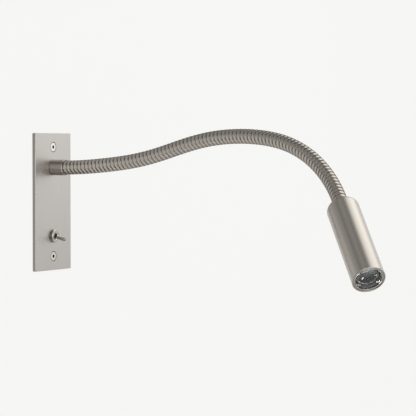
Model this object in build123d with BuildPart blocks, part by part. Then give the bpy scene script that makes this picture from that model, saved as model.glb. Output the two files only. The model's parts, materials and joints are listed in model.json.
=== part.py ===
from build123d import *
import math
import os

# Wall reading lamp: a plate with a toggle switch over a recessed box, a flexible ribbed neck
# and a slim head. Millimetres, +Z up. The wall's face is y = 0 and the room is towards -Y.
# The origin is the middle of the plate's back.

# ---------------------------------------------------------------- driving dimensions
# wall plate
plate_width = 54.0
plate_height = 116.0
plate_thickness = 3.0
plate_bevel = 0.8
plate_corner = 1.0
pocket_depth = 0.6
neck_height = 29.0
switch_height = -29.0

# plate screws, countersunk with a hexagon socket
screw_inset = 6.75       # from the box's ends, to the middle of its lugs' tapped holes
screw_diameter = 4.0
screw_head_diameter = 8.0
screw_head_rim = 0.3
screw_length = 12.0
screw_socket = 2.5
screw_socket_depth = 1.6
screw_recess = 0.05

# recessed box
box_width = 44.0
box_height = 106.0
box_depth = 36.0
box_wall = 1.2
box_corner = 4.0
lug_width = 14.0
lug_reach = 10.5
lug_thickness = 2.0
lug_setback = 0.8
lug_boss_diameter = 7.0
lug_boss_height = 2.0
fixing_hole_diameter = 4.5
fixing_spacing_across = 35.0
fixing_spacing_up = 80.0
cable_hole_diameter = 12.0
cable_hole_depth = 20.0

# grommet
grommet_bore = 7.0
grommet_flange = 16.0
grommet_lip = 1.5

# driver, the light's power supply
driver_width = 28.0
driver_room_above = 1.0
driver_room_below = 17.8
driver_thickness = 13.0
driver_corner = 2.0
driver_bevel = 0.5
driver_pad_thickness = 0.8
driver_pad_margin = 3.0

# mains terminal block
terminal_pitch = 8.0
terminal_count = 3
terminal_height = 15.0
terminal_thickness = 11.0
terminal_room_above = 3.8
terminal_entry = 3.2
terminal_entry_depth = 4.5
terminal_screw_diameter = 2.6
terminal_screw_length = 4.0
slot_width = 0.6
slot_depth = 0.7

# earth screw and tag
earth_screw_diameter = 4.0
earth_screw_length = 2.0
earth_head_diameter = 7.5
earth_head_height = 2.4
earth_head_round = 0.6
earth_below_terminals = 16.0
tag_thickness = 0.8
tag_diameter = 8.0
tag_length = 9.5
tag_barrel_diameter = 3.4
tag_barrel_length = 5.0

# toggle switch
bushing_diameter = 6.0
bushing_bore = 4.0
bushing_mouth = 4.8
bushing_proud = 2.2
bushing_length = 9.4
switch_flange_thickness = 0.8
switch_width = 8.0
switch_body_height = 13.2
switch_body_depth = 9.5
switch_body_round = 1.0
switch_tag_width = 2.2
switch_tag_thickness = 0.8
switch_tag_length = 5.0
switch_tag_root = 2.5
switch_tag_spacing = 8.4
inner_nut_across = 8.0
inner_nut_thickness = 2.0
switch_washer_diameter = 9.5
switch_washer_thickness = 0.5
dress_nut_diameter = 11.0
dress_nut_thickness = 2.4
dress_nut_chamfer = 0.5
knurl_count = 40
knurl_depth = 0.25
lever_pivot_depth = 1.8
lever_ball_diameter = 3.8
lever_reach = 14.0
lever_root_diameter = 2.0
lever_tip_diameter = 2.8
lever_tip_bevel = 0.15
lever_tail = 3.6
lever_tail_diameter = 1.6
lever_swing = 25.0
lever_pin_diameter = 0.9
lever_pin_length = 5.7

# collar that carries the neck
collar_diameter = 13.3
collar_length = 12.7
collar_chamfer = 0.3
collar_socket_depth = 9.5
thread_diameter = 10.0
thread_reach = 6.5
lead_bore = 5.0
collar_washer_diameter = 16.0
collar_washer_thickness = 0.8
lock_nut_across = 14.0
lock_nut_thickness = 5.0

# flexible neck: ribbed, with a bore for the lead
neck_crest_diameter = 12.0
neck_valley_diameter = 10.5
neck_bore_diameter = 6.0
neck_straight_end = 7.0
neck_joint_count = 12
ribs_per_section = 7
rib_valley_share = 0.16
rib_crest_share = 0.26
bend_limit = 20.0
ball_diameter = 8.8
socket_rim_diameter = 10.0

# two-core lead inside the neck
lead_diameter = 4.0
lead_into_head = 20.0
led_wire_diameter = 1.2
led_wire_split = 1.1
led_wire_straight = 5.0

# wires in the box: how far each runs straight before it turns
wire_diameter = 2.0
live_drop = 2.5
live_above_driver = 2.0
live_above_switch = 11.0
switched_below_driver = 10.0
neutral_drop = 6.0
neutral_above_driver = 6.0
neutral_below_driver = 12.0
earth_drop = 1.5
earth_above_tag = 2.4
end_run_share = 0.9
inner_run_share = 0.45

# head
head_diameter = 25.0
head_length = 79.5
head_back_round = 4.5
head_back_wall = 7.0
head_wall = 1.3
mouth_depth = 3.2
mouth_wall = 0.9
neck_seat_depth = 2.0
tip_bush_length = 8.0
tip_thread_reach = 3.5
head_nut_thickness = 3.0

# light engine in the head
sink_length = 20.0
sink_from_mouth = 39.5
sink_hole_offset = 8.4
sink_hole_diameter = 2.0
pad_thickness = 0.2
board_diameter = 20.0
board_thickness = 1.6
board_screw_offset = 7.5
board_screw_diameter = 2.0
board_screw_head = 3.6
board_screw_head_height = 1.2
board_screw_length = 7.0
led_size = 3.5
led_height = 0.8
led_dome_diameter = 2.6
reflector_wall = 0.7
reflector_throat = 6.0
reflector_mouth = 19.0
reflector_length = 14.4
lens_diameter = 20.8
lens_edge = 2.0
lens_aperture = 19.4
lens_recess = 1.0
lens_rise = 2.6
ring_recess = 0.4
ring_bevel = 0.6

# clearances
slip = 0.03       # threads and pieces that slip together
pin_fit = 0.01    # the lever's pin in its bushing
running = 0.1     # ball joints, and holes round threads
screw_room = 0.15 # clearance holes of the plate's screws
loose = 0.3       # free edges
seat_gap = 0.6    # between the box and the plate's pocket

# ---------------------------------------------------------------- the neck's route at rest
# chosen points of the neck's centreline, from the collar's mouth to the back of the head
head_direction = Vector(-0.557, -0.525, -0.644).normalized()
neck_mouth = Vector(0, -plate_thickness - collar_length, neck_height)
head_back_point = Vector(-46.5, -292.5, 1.5)
neck_points = [
    neck_mouth,
    Vector(0, -53, 31),
    Vector(0, -96.5, 37.5),
    Vector(-0.5, -143.5, 50.5),
    Vector(-5, -192.5, 54.5),
    Vector(-15, -239.5, 45),
    Vector(-32, -277, 19),
    head_back_point - head_direction * neck_straight_end,
]

with BuildLine() as neck_route:
    neck_line = Spline(*neck_points, tangents=[(0, -1, 0), head_direction])

curve_length = neck_line.length
neck_length = curve_length + neck_straight_end


def route_plane(s):
    """Plane square to the neck, s mm past the collar's mouth: x level, y upwards, z along it."""
    along = min(max(s, 0.0), curve_length)
    point = neck_line.position_at(along, position_mode=PositionMode.LENGTH)
    direction = neck_line.tangent_at(along, position_mode=PositionMode.LENGTH)
    level = Vector(0, 0, 1).cross(direction)
    return Plane(point + direction * (s - along), x_dir=level, z_dir=direction)


joint_spacing = neck_length / neck_joint_count
joint_stations = [joint_spacing * (k + 0.5) for k in range(neck_joint_count)]
joint_planes = [route_plane(s) for s in joint_stations]


def head_plane(t):
    """Plane square to the head, t mm in front of its back face."""
    return route_plane(neck_length + t)


def front(y):
    """Plane at depth y whose outward side faces the room: x to the right, y upwards."""
    return Plane(origin=(0, y, 0), x_dir=(1, 0, 0), z_dir=(0, -1, 0))


def save(piece, label):
    """Label a finished piece and write its file."""
    piece.part.label = label
    export_step(piece.part, f"parts/{label}.step")


os.makedirs("parts", exist_ok=True)

# ---------------------------------------------------------------- wall plate and its screws
plate_face = -plate_thickness
pocket_floor = -pocket_depth
screw_up = box_height / 2 - screw_inset
screw_points = [(0, screw_up), (0, -screw_up)]
head_cone_depth = (screw_head_diameter - screw_diameter) / 2
screw_top = plate_face + screw_recess

with BuildPart() as wall_plate:
    with BuildSketch(front(0)):
        Rectangle(plate_width, plate_height)
    extrude(amount=plate_thickness)
    fillet(wall_plate.edges().filter_by(Axis.Y), plate_corner)
    chamfer(wall_plate.faces().sort_by(Axis.Y)[0].edges(), plate_bevel)
    with BuildSketch(front(0)):
        RectangleRounded(box_width + 2 * seat_gap, box_height + 2 * seat_gap, box_corner + seat_gap)
    extrude(amount=pocket_depth, mode=Mode.SUBTRACT)
    with BuildSketch(front(0)):
        with Locations((0, neck_height)):
            Circle(thread_diameter / 2 + running)
        with Locations((0, switch_height)):
            Circle(bushing_diameter / 2 + running)
        with Locations(*screw_points):
            Circle(screw_diameter / 2 + screw_room)
    extrude(amount=plate_thickness, mode=Mode.SUBTRACT)
    with BuildSketch(front(plate_face)):
        with Locations(*screw_points):
            Circle(screw_head_diameter / 2 + screw_room)
    extrude(amount=-(screw_recess + screw_head_rim), mode=Mode.SUBTRACT)
    with BuildSketch(front(screw_top + screw_head_rim)):
        with Locations(*screw_points):
            Circle(screw_head_diameter / 2 + screw_room)
    extrude(amount=-head_cone_depth, taper=45, mode=Mode.SUBTRACT)
save(wall_plate, "wall_plate")

with BuildPart() as plate_screws:
    with BuildSketch(front(screw_top)):
        with Locations(*screw_points):
            Circle(screw_head_diameter / 2)
    extrude(amount=-screw_head_rim)
    with BuildSketch(front(screw_top + screw_head_rim)):
        with Locations(*screw_points):
            Circle(screw_head_diameter / 2)
    extrude(amount=-head_cone_depth, taper=45)
    with BuildSketch(front(screw_top)):
        with Locations(*screw_points):
            Circle(screw_diameter / 2)
    extrude(amount=-screw_length)
    with BuildSketch(front(screw_top)):
        with Locations(*screw_points):
            RegularPolygon(screw_socket / 2, 6, major_radius=False)
    extrude(amount=-screw_socket_depth, mode=Mode.SUBTRACT)
save(plate_screws, "plate_screws")

# ---------------------------------------------------------------- recessed box
box_end = box_height / 2 - box_wall
box_floor = box_depth - box_wall
lug_middle = box_end - lug_reach / 2
box_top = Plane(origin=(0, 0, box_height / 2), x_dir=(1, 0, 0), z_dir=(0, 0, 1))

# the box's contents from the top down: terminal block, earth tag, driver
terminal_top = box_end - terminal_room_above
terminal_bottom = terminal_top - terminal_height
terminal_middle = (terminal_top + terminal_bottom) / 2
earth_height = terminal_bottom - earth_below_terminals
driver_top = earth_height - tag_diameter / 2 - driver_room_above
driver_bottom = driver_room_below - box_end
driver_height = driver_top - driver_bottom
driver_middle = (driver_top + driver_bottom) / 2

terminal_xs = [terminal_pitch * (k - (terminal_count - 1) / 2) for k in range(terminal_count)]
earth_x = terminal_xs[-1]

with BuildPart() as back_box:
    with BuildSketch(front(box_depth)):
        RectangleRounded(box_width, box_height, box_corner)
    extrude(amount=box_depth)
    with BuildSketch(front(box_floor)):
        RectangleRounded(box_width - 2 * box_wall, box_height - 2 * box_wall, box_corner - box_wall)
    extrude(amount=box_floor, mode=Mode.SUBTRACT)
    with BuildSketch(front(lug_setback)):
        with Locations((0, lug_middle + slip), (0, -lug_middle - slip)):
            Rectangle(lug_width, lug_reach + 2 * slip)
    extrude(amount=-lug_thickness)
    with BuildSketch(front(lug_setback + lug_thickness)):
        with Locations(*screw_points):
            Circle(lug_boss_diameter / 2)
    extrude(amount=-lug_boss_height)
    with BuildSketch(front(lug_setback)):
        with Locations(*screw_points):
            Circle(screw_diameter / 2 + slip)
    extrude(amount=-(lug_thickness + lug_boss_height), mode=Mode.SUBTRACT)
    with BuildSketch(front(box_depth)):
        with GridLocations(fixing_spacing_across, fixing_spacing_up, 2, 2):
            Circle(fixing_hole_diameter / 2)
        with Locations((earth_x, earth_height)):
            Circle(earth_screw_diameter / 2 + slip)
    extrude(amount=box_wall, mode=Mode.SUBTRACT)
    with BuildSketch(box_top):
        with Locations((0, cable_hole_depth)):
            Circle(cable_hole_diameter / 2)
    extrude(amount=-box_wall, mode=Mode.SUBTRACT)
save(back_box, "back_box")

# grommet: two flanges that grip the hole's edge, and a bore for the house cable
with BuildPart() as box_grommet:
    with BuildSketch(box_top.offset(grommet_lip + slip)):
        with Locations((0, cable_hole_depth)):
            Circle(grommet_flange / 2)
    extrude(amount=-grommet_lip)
    with BuildSketch(box_top.offset(slip)):
        with Locations((0, cable_hole_depth)):
            Circle(cable_hole_diameter / 2 - slip)
    extrude(amount=-(box_wall + 2 * slip))
    with BuildSketch(box_top.offset(-box_wall - slip)):
        with Locations((0, cable_hole_depth)):
            Circle(grommet_flange / 2)
    extrude(amount=-grommet_lip)
    with BuildSketch(box_top.offset(grommet_lip + slip)):
        with Locations((0, cable_hole_depth)):
            Circle(grommet_bore / 2)
    extrude(amount=-(2 * grommet_lip + box_wall + 2 * slip), mode=Mode.SUBTRACT)
save(box_grommet, "box_grommet")

# ---------------------------------------------------------------- driver and terminal block
driver_back = box_floor - driver_pad_thickness
driver_front = driver_back - driver_thickness

with BuildPart() as driver_pad:
    with BuildSketch(front(box_floor)):
        with Locations((0, driver_middle)):
            Rectangle(driver_width - 2 * driver_pad_margin, driver_height - 2 * driver_pad_margin)
    extrude(amount=driver_pad_thickness)
save(driver_pad, "driver_pad")

with BuildPart() as driver_case:
    with BuildSketch(front(driver_back)):
        with Locations((0, driver_middle)):
            RectangleRounded(driver_width, driver_height, driver_corner)
    extrude(amount=driver_thickness)
    chamfer(driver_case.faces().sort_by(Axis.Y)[0].edges(), driver_bevel)
save(driver_case, "driver_case")

terminal_front = box_floor - terminal_thickness
terminal_width = terminal_pitch * terminal_count
terminal_entry_y = box_floor - terminal_thickness / 2
terminal_screw_zs = [terminal_middle + terminal_height / 4, terminal_middle - terminal_height / 4]
terminal_screw_points = [(x, z) for x in terminal_xs for z in terminal_screw_zs]


def entry_plane(z):
    """Plane level with one end of the terminal block, facing up: x to the right, y inwards."""
    return Plane(origin=(0, 0, z), x_dir=(1, 0, 0), z_dir=(0, 0, 1))


with BuildPart() as terminal_block:
    with BuildSketch(front(box_floor)):
        with Locations((0, terminal_middle)):
            Rectangle(terminal_width, terminal_height)
    extrude(amount=terminal_thickness)
    for end, inward in ((terminal_top, -1), (terminal_bottom, 1)):
        with BuildSketch(entry_plane(end)):
            with Locations(*[(x, terminal_entry_y) for x in terminal_xs]):
                Circle(terminal_entry / 2)
        extrude(amount=inward * terminal_entry_depth, mode=Mode.SUBTRACT)
    with BuildSketch(front(terminal_front)):
        with Locations(*terminal_screw_points):
            Circle(terminal_screw_diameter / 2 + slip)
    extrude(amount=-terminal_screw_length, mode=Mode.SUBTRACT)
save(terminal_block, "terminal_block")

with BuildPart() as terminal_screws:
    with BuildSketch(front(terminal_front + slip)):
        with Locations(*terminal_screw_points):
            Circle(terminal_screw_diameter / 2)
    extrude(amount=-(terminal_screw_length - 2 * slip))
    with BuildSketch(front(terminal_front + slip)):
        with Locations(*terminal_screw_points):
            Rectangle(terminal_screw_diameter, slot_width)
    extrude(amount=-slot_depth, mode=Mode.SUBTRACT)
save(terminal_screws, "terminal_screws")

# ---------------------------------------------------------------- earth tag and screw
tag_back = box_floor - slip
tag_front = tag_back - tag_thickness
barrel_start = earth_height + tag_length - tag_barrel_length
barrel_y = tag_front + tag_thickness / 2 - tag_barrel_diameter / 2

with BuildPart() as earth_tag:
    with BuildSketch(front(tag_back)):
        with Locations((earth_x, earth_height)):
            Circle(tag_diameter / 2)
        with Locations((earth_x, earth_height + tag_length / 2)):
            Rectangle(tag_barrel_diameter, tag_length)
        with Locations((earth_x, earth_height)):
            Circle(earth_screw_diameter / 2 + slip, mode=Mode.SUBTRACT)
    extrude(amount=tag_thickness)
    with BuildSketch(entry_plane(barrel_start)):
        with Locations((earth_x, barrel_y)):
            Circle(tag_barrel_diameter / 2)
    extrude(amount=tag_barrel_length)
    with BuildSketch(entry_plane(barrel_start + tag_thickness)):
        with Locations((earth_x, barrel_y)):
            Circle(wire_diameter / 2 + slip)
    extrude(amount=tag_barrel_length, mode=Mode.SUBTRACT)
save(earth_tag, "earth_tag")

with BuildPart() as earth_screw:
    with BuildSketch(front(tag_front - slip)):
        with Locations((earth_x, earth_height)):
            Circle(earth_head_diameter / 2)
    extrude(amount=earth_head_height)
    fillet(earth_screw.faces().sort_by(Axis.Y)[0].edges(), earth_head_round)
    with BuildSketch(front(tag_front - slip)):
        with Locations((earth_x, earth_height)):
            Circle(earth_screw_diameter / 2)
    extrude(amount=-earth_screw_length)
    with BuildSketch(front(tag_front - slip - earth_head_height)):
        with Locations((earth_x, earth_height)):
            Rectangle(earth_head_diameter, slot_width)
            Rectangle(slot_width, earth_head_diameter / 2)
    extrude(amount=-slot_depth, mode=Mode.SUBTRACT)
save(earth_screw, "earth_screw")

# ---------------------------------------------------------------- toggle switch
bushing_front = plate_face - bushing_proud
bushing_back = bushing_front + bushing_length
switch_case_front = bushing_back + switch_flange_thickness
switch_case_back = switch_case_front + switch_body_depth
pivot_y = plate_face + lever_pivot_depth
tag_zs = [switch_height + switch_tag_spacing / 2, switch_height - switch_tag_spacing / 2]

with BuildPart() as switch_bushing:
    with BuildSketch(front(bushing_back)):
        with Locations((0, switch_height)):
            Circle(bushing_diameter / 2)
    extrude(amount=bushing_length)
    with BuildSketch(front(switch_case_front)):
        with Locations((0, switch_height)):
            Rectangle(switch_width, switch_body_height)
    extrude(amount=switch_flange_thickness)
    with BuildSketch(front(switch_case_front)):
        with Locations((0, switch_height)):
            Circle(bushing_bore / 2)
    extrude(amount=bushing_length + switch_flange_thickness, mode=Mode.SUBTRACT)
    with BuildSketch(front(bushing_front)):
        with Locations((0, switch_height)):
            Circle(bushing_mouth / 2)
    extrude(amount=-(pivot_y - bushing_front) / 2, mode=Mode.SUBTRACT)
    with BuildSketch(Plane.YZ.offset(-bushing_diameter)):
        with Locations((pivot_y, switch_height)):
            Circle(lever_pin_diameter / 2 + pin_fit)
    extrude(amount=2 * bushing_diameter, mode=Mode.SUBTRACT)
save(switch_bushing, "switch_bushing")

with BuildPart() as switch_case:
    with BuildSketch(front(switch_case_back)):
        with Locations((0, switch_height)):
            Rectangle(switch_width, switch_body_height)
    extrude(amount=switch_body_depth)
    fillet(switch_case.faces().sort_by(Axis.Y)[-1].edges(), switch_body_round)
    with BuildSketch(front(switch_case_back)):
        for z in tag_zs:
            with Locations((0, z)):
                Rectangle(switch_tag_width + 2 * slip, switch_tag_thickness + 2 * slip)
    extrude(amount=switch_tag_root, mode=Mode.SUBTRACT)
save(switch_case, "switch_case")

with BuildPart() as switch_tags:
    with BuildSketch(front(switch_case_back - switch_tag_root + slip)):
        for z in tag_zs:
            with Locations((0, z)):
                Rectangle(switch_tag_width, switch_tag_thickness)
    extrude(amount=-(switch_tag_root + switch_tag_length))
save(switch_tags, "switch_tags")

with BuildPart() as switch_washer:
    with BuildSketch(front(pocket_floor + switch_washer_thickness)):
        with Locations((0, switch_height)):
            Circle(switch_washer_diameter / 2)
            Circle(bushing_diameter / 2 + running, mode=Mode.SUBTRACT)
    extrude(amount=switch_washer_thickness)
save(switch_washer, "switch_washer")

with BuildPart() as switch_inner_nut:
    with BuildSketch(front(pocket_floor + switch_washer_thickness + inner_nut_thickness)):
        with Locations((0, switch_height)):
            RegularPolygon(inner_nut_across / 2, 6, major_radius=False)
            Circle(bushing_diameter / 2 + slip, mode=Mode.SUBTRACT)
    extrude(amount=inner_nut_thickness)
save(switch_inner_nut, "switch_inner_nut")

with BuildPart() as switch_dress_nut:
    with BuildSketch(front(plate_face)):
        with Locations((0, switch_height)):
            Circle(dress_nut_diameter / 2)
    extrude(amount=dress_nut_thickness)
    chamfer(switch_dress_nut.faces().sort_by(Axis.Y)[0].edges(), dress_nut_chamfer)
    with BuildSketch(front(plate_face)):
        with Locations((0, switch_height)):
            Circle(bushing_diameter / 2 + slip)
            with PolarLocations(dress_nut_diameter / 2 + knurl_depth / 3, knurl_count):
                Circle(knurl_depth)
    extrude(amount=dress_nut_thickness, mode=Mode.SUBTRACT)
save(switch_dress_nut, "switch_dress_nut")

with BuildPart() as lever_pin:
    with BuildSketch(Plane.YZ.offset(-lever_pin_length / 2)):
        with Locations((pivot_y, switch_height)):
            Circle(lever_pin_diameter / 2)
    extrude(amount=lever_pin_length)
save(lever_pin, "lever_pin")

# the lever hangs at the lower end of its swing, turned about the pin
lever_drop = math.radians(lever_swing / 2)
lever_pivot = Vector(0, pivot_y, switch_height)
lever_direction = Vector(0, -math.cos(lever_drop), -math.sin(lever_drop))


def lever_plane(reach):
    """Plane square to the lever, reach mm out from its pin."""
    return Plane(lever_pivot + lever_direction * reach, x_dir=(1, 0, 0), z_dir=lever_direction)


lever_root = lever_ball_diameter / 2 - loose

with BuildPart() as switch_lever:
    with Locations(lever_plane(0)):
        Sphere(lever_ball_diameter / 2)
    with BuildSketch(lever_plane(lever_root)):
        Circle(lever_root_diameter / 2)
    with BuildSketch(lever_plane(lever_reach)):
        Circle(lever_tip_diameter / 2)
    loft(ruled=True)
    chamfer(switch_lever.edges().sort_by(Axis.Y)[0], lever_tip_bevel)
    with BuildSketch(lever_plane(-lever_tail)):
        Circle(lever_tail_diameter / 2)
    extrude(amount=lever_tail)
    with BuildSketch(Plane.YZ.offset(-lever_ball_diameter)):
        with Locations((pivot_y, switch_height)):
            Circle(lever_pin_diameter / 2 + slip)
    extrude(amount=2 * lever_ball_diameter, mode=Mode.SUBTRACT)
save(switch_lever, "switch_lever")

# ---------------------------------------------------------------- collar that carries the neck
collar_front = plate_face - collar_length
collar_socket = neck_crest_diameter / 2 + slip
nut_back = pocket_floor + collar_washer_thickness + lock_nut_thickness

with BuildPart() as neck_collar:
    with BuildSketch(front(plate_face)):
        with Locations((0, neck_height)):
            Circle(collar_diameter / 2)
    extrude(amount=collar_length)
    chamfer(neck_collar.faces().sort_by(Axis.Y)[0].edges(), collar_chamfer)
    with BuildSketch(front(thread_reach)):
        with Locations((0, neck_height)):
            Circle(thread_diameter / 2)
    extrude(amount=thread_reach - plate_face)
    with BuildSketch(front(collar_front)):
        with Locations((0, neck_height)):
            Circle(collar_socket)
    extrude(amount=-collar_socket_depth, mode=Mode.SUBTRACT)
    with BuildSketch(front(thread_reach)):
        with Locations((0, neck_height)):
            Circle(lead_bore / 2)
    extrude(amount=thread_reach - collar_front, mode=Mode.SUBTRACT)
save(neck_collar, "neck_collar")

with BuildPart() as collar_washer:
    with BuildSketch(front(pocket_floor + collar_washer_thickness)):
        with Locations((0, neck_height)):
            Circle(collar_washer_diameter / 2)
            Circle(thread_diameter / 2 + running, mode=Mode.SUBTRACT)
    extrude(amount=collar_washer_thickness)
save(collar_washer, "collar_washer")

with BuildPart() as collar_nut:
    with BuildSketch(front(nut_back)):
        with Locations((0, neck_height)):
            RegularPolygon(lock_nut_across / 2, 6, major_radius=False)
            Circle(thread_diameter / 2 + slip, mode=Mode.SUBTRACT)
    extrude(amount=lock_nut_thickness)
save(collar_nut, "collar_nut")

# ---------------------------------------------------------------- flexible neck
# Each section runs from one bending point to the next. It starts as a socket round the ball
# of the section before it, and ends in a ball of its own, centred on the next bending point.
rib_pitch = joint_spacing / ribs_per_section
ball_radius = ball_diameter / 2
bend_room = socket_rim_diameter / 2 * math.sin(math.radians(bend_limit)) + loose
collar_seat = -collar_socket_depth + slip
neck_tip = neck_length + neck_seat_depth - slip


def rib_profile(start, end):
    """Stations and radii of the ribs between two points: valley, crest, crest, valley each."""
    count = max(1, round((end - start) / rib_pitch))
    pitch = (end - start) / count
    shares = (
        (rib_valley_share, neck_valley_diameter),
        (rib_crest_share, neck_crest_diameter),
        (1 - rib_crest_share, neck_crest_diameter),
        (1 - rib_valley_share, neck_valley_diameter),
    )
    ribs = [(start + pitch * (k + share), d / 2) for k in range(count) for share, d in shares]
    return [(start, neck_valley_diameter / 2), *ribs, (end, neck_valley_diameter / 2)]


def build_neck_section(start, end, socket, ball):
    """One neck section. socket and ball say which ends meet a neighbour at a bending point."""
    last_rib = end - bend_room if ball else end
    bore_start = start - loose
    bore_end = end + ball_radius + loose if ball else end + loose
    bore_steps = ribs_per_section
    with BuildPart() as section:
        for station, radius in rib_profile(start, last_rib):
            with BuildSketch(route_plane(station)):
                Circle(radius)
        loft(ruled=True)
        if ball:
            with Locations(route_plane(end)):
                Sphere(ball_radius)
        if socket:
            with BuildSketch(route_plane(start)):
                Circle(neck_crest_diameter)
                Circle(socket_rim_diameter / 2, mode=Mode.SUBTRACT)
            extrude(amount=rib_pitch * rib_valley_share / 2, mode=Mode.SUBTRACT)
            with Locations(route_plane(start)):
                Sphere(ball_radius + running, mode=Mode.SUBTRACT)
        for k in range(bore_steps + 1):
            with BuildSketch(route_plane(bore_start + (bore_end - bore_start) * k / bore_steps)):
                Circle(neck_bore_diameter / 2)
        loft(ruled=True, mode=Mode.SUBTRACT)
    return section


section_starts = [collar_seat, *joint_stations]
section_ends = [*joint_stations, neck_tip]
for k, (start, end) in enumerate(zip(section_starts, section_ends)):
    piece = build_neck_section(start, end, socket=k > 0, ball=k < neck_joint_count)
    save(piece, f"neck_section_{k:02d}")

# ---------------------------------------------------------------- head
head_radius = head_diameter / 2
head_bore = head_radius - head_wall
mouth_bore = head_radius - mouth_wall
mouth_start = head_length - mouth_depth

with BuildPart() as head_shell:
    with BuildSketch(head_plane(0)):
        Circle(head_radius)
    extrude(amount=head_length)
    back_edge = head_shell.edges().filter_by(GeomType.CIRCLE).sort_by_distance(head_plane(0).origin)[0]
    fillet(back_edge, head_back_round)
    with BuildSketch(head_plane(head_back_wall)):
        Circle(head_bore)
    extrude(amount=head_length, mode=Mode.SUBTRACT)
    with BuildSketch(head_plane(mouth_start)):
        Circle(mouth_bore)
    extrude(amount=head_length, mode=Mode.SUBTRACT)
    with BuildSketch(head_plane(0)):
        Circle(neck_crest_diameter / 2 + running)
    extrude(amount=neck_seat_depth, mode=Mode.SUBTRACT)
    with BuildSketch(head_plane(0)):
        Circle(thread_diameter / 2 + slip)
    extrude(amount=head_back_wall, mode=Mode.SUBTRACT)
save(head_shell, "head_shell")

# the bush grips the neck's bore and screws through the head's back
bush_start = neck_seat_depth - tip_bush_length
bush_end = head_back_wall + tip_thread_reach

with BuildPart() as tip_bush:
    with BuildSketch(head_plane(bush_start)):
        Circle(neck_bore_diameter / 2 - slip)
    extrude(amount=tip_bush_length + slip)
    with BuildSketch(head_plane(neck_seat_depth + slip)):
        Circle(thread_diameter / 2)
    extrude(amount=bush_end - neck_seat_depth - slip)
    with BuildSketch(head_plane(bush_start)):
        Circle(lead_bore / 2)
    extrude(amount=bush_end - bush_start, mode=Mode.SUBTRACT)
save(tip_bush, "tip_bush")

with BuildPart() as head_nut:
    with BuildSketch(head_plane(head_back_wall + slip)):
        RegularPolygon(lock_nut_across / 2, 6, major_radius=False)
        Circle(thread_diameter / 2 + slip, mode=Mode.SUBTRACT)
    extrude(amount=head_nut_thickness)
save(head_nut, "head_nut")

# heat sink with two wire holes and the board screws' holes
sink_start = head_length - sink_from_mouth
sink_end = sink_start + sink_length
pad_start = sink_end + slip
board_start = pad_start + pad_thickness + slip
board_end = board_start + board_thickness
wire_points = [(0, sink_hole_offset), (0, -sink_hole_offset)]
board_screw_points = [(board_screw_offset, 0), (-board_screw_offset, 0)]
board_screw_seat = board_end + slip

with BuildPart() as heat_sink:
    with BuildSketch(head_plane(sink_start)):
        Circle(head_bore - running)
        with Locations(*wire_points):
            Circle(sink_hole_diameter / 2, mode=Mode.SUBTRACT)
    extrude(amount=sink_length)
    with BuildSketch(head_plane(sink_end)):
        with Locations(*board_screw_points):
            Circle(board_screw_diameter / 2 + slip)
    extrude(amount=-board_screw_length, mode=Mode.SUBTRACT)
save(heat_sink, "heat_sink")

with BuildPart() as thermal_pad:
    with BuildSketch(head_plane(pad_start)):
        Circle(board_diameter / 2)
        with Locations(*wire_points):
            Circle(sink_hole_diameter / 2, mode=Mode.SUBTRACT)
        with Locations(*board_screw_points):
            Circle(board_screw_diameter / 2 + running, mode=Mode.SUBTRACT)
    extrude(amount=pad_thickness)
save(thermal_pad, "thermal_pad")

with BuildPart() as led_board:
    with BuildSketch(head_plane(board_start)):
        Circle(board_diameter / 2)
        with Locations(*wire_points):
            Circle(led_wire_diameter / 2 + slip, mode=Mode.SUBTRACT)
        with Locations(*board_screw_points):
            Circle(board_screw_diameter / 2 + running, mode=Mode.SUBTRACT)
    extrude(amount=board_thickness)
save(led_board, "led_board")

with BuildPart() as board_screws:
    with BuildSketch(head_plane(board_screw_seat)):
        with Locations(*board_screw_points):
            Circle(board_screw_head / 2)
    extrude(amount=board_screw_head_height)
    with BuildSketch(head_plane(board_screw_seat)):
        with Locations(*board_screw_points):
            Circle(board_screw_diameter / 2)
    extrude(amount=-board_screw_length)
    with BuildSketch(head_plane(board_screw_seat + board_screw_head_height)):
        with Locations(*board_screw_points):
            Rectangle(board_screw_head, slot_width)
    extrude(amount=-slot_depth, mode=Mode.SUBTRACT)
save(board_screws, "board_screws")

led_base = board_end + slip

with BuildPart() as led_emitter:
    with BuildSketch(head_plane(led_base)):
        Rectangle(led_size, led_size)
    extrude(amount=led_height)
    with Locations(head_plane(led_base + led_height)):
        Sphere(led_dome_diameter / 2, arc_size1=0, arc_size2=90)
save(led_emitter, "led_emitter")

# reflector cup: an open cone that stands on the board round the light source
cup_start = board_end + slip
cup_end = cup_start + reflector_length
cup_wall_radii = (reflector_throat / 2 + reflector_wall, reflector_mouth / 2 + reflector_wall)
cup_bore_radii = (reflector_throat / 2, reflector_mouth / 2)

with BuildPart() as reflector:
    for radii, mode in ((cup_wall_radii, Mode.ADD), (cup_bore_radii, Mode.SUBTRACT)):
        for station, radius in zip((cup_start, cup_end), radii):
            with BuildSketch(head_plane(station)):
                Circle(radius)
        loft(ruled=True, mode=mode)
save(reflector, "reflector")

# lens: a plano-convex dome with a flat edge, and the screwed ring that holds it in the mouth
dome_base = head_length - lens_recess
lens_back = dome_base - lens_edge
dome_radius = ((lens_aperture / 2) ** 2 + lens_rise ** 2) / (2 * lens_rise)
dome_top = dome_base + lens_rise
dome_half_turn = math.asin(lens_aperture / 2 / dome_radius) / 2
dome_middle = (
    dome_radius * math.sin(dome_half_turn),
    dome_top - dome_radius * (1 - math.cos(dome_half_turn)),
)
ring_front = head_length - ring_recess
head_back = head_plane(0)
head_section = Plane(
    head_back.origin, x_dir=head_back.x_dir, z_dir=head_back.x_dir.cross(head_back.z_dir)
)

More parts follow.
